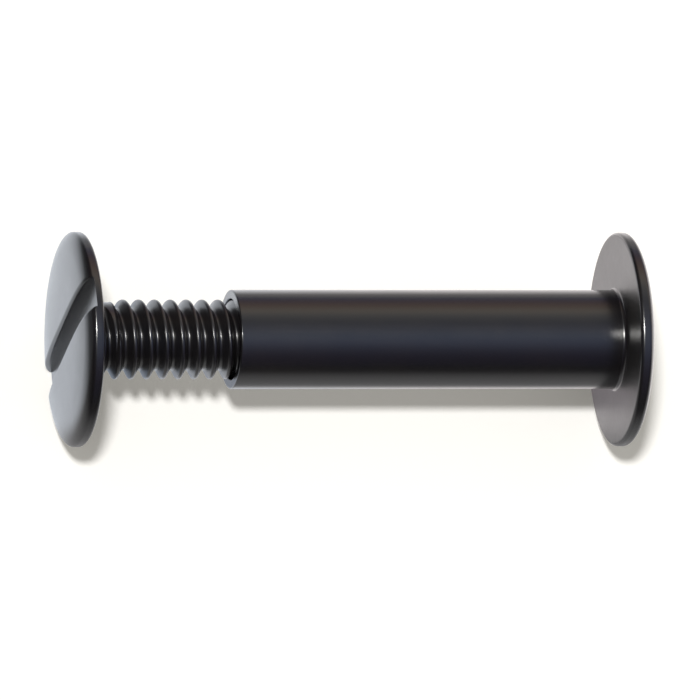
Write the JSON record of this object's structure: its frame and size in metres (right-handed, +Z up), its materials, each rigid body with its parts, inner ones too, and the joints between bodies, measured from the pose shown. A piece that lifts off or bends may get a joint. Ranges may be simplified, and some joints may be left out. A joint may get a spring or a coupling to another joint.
{
  "type": "binding barrel screw",
  "caption": "Binding barrel screw, also called a binding post: a slotted, low-domed screw threaded up to its head, partly screwed into a barrel nut with a matching head.",
  "frame": {"origin": "on the ground on which both heads rest, below the middle of the overall length at rest", "axes": "+X along the common axis, from the screw's head to the barrel's head; +Z up, as the part lies"},
  "size_m": [0.046, 0.0168, 0.0168],
  "materials": {
    "screw_steel": "glossy black oxide on steel",
    "barrel_steel": "glossy black oxide on steel"
  },
  "bodies": {
    "barrel": {"barrel_nut": "barrel_steel"},
    "screw": {"slotted_screw": "screw_steel"}
  },
  "joints": [
    {"name": "screw_travel", "type": "slide", "parent": "barrel", "child": "screw", "axis": [1, 0, 0], "range_m": [-0.02, 0.0118]}
  ]
}
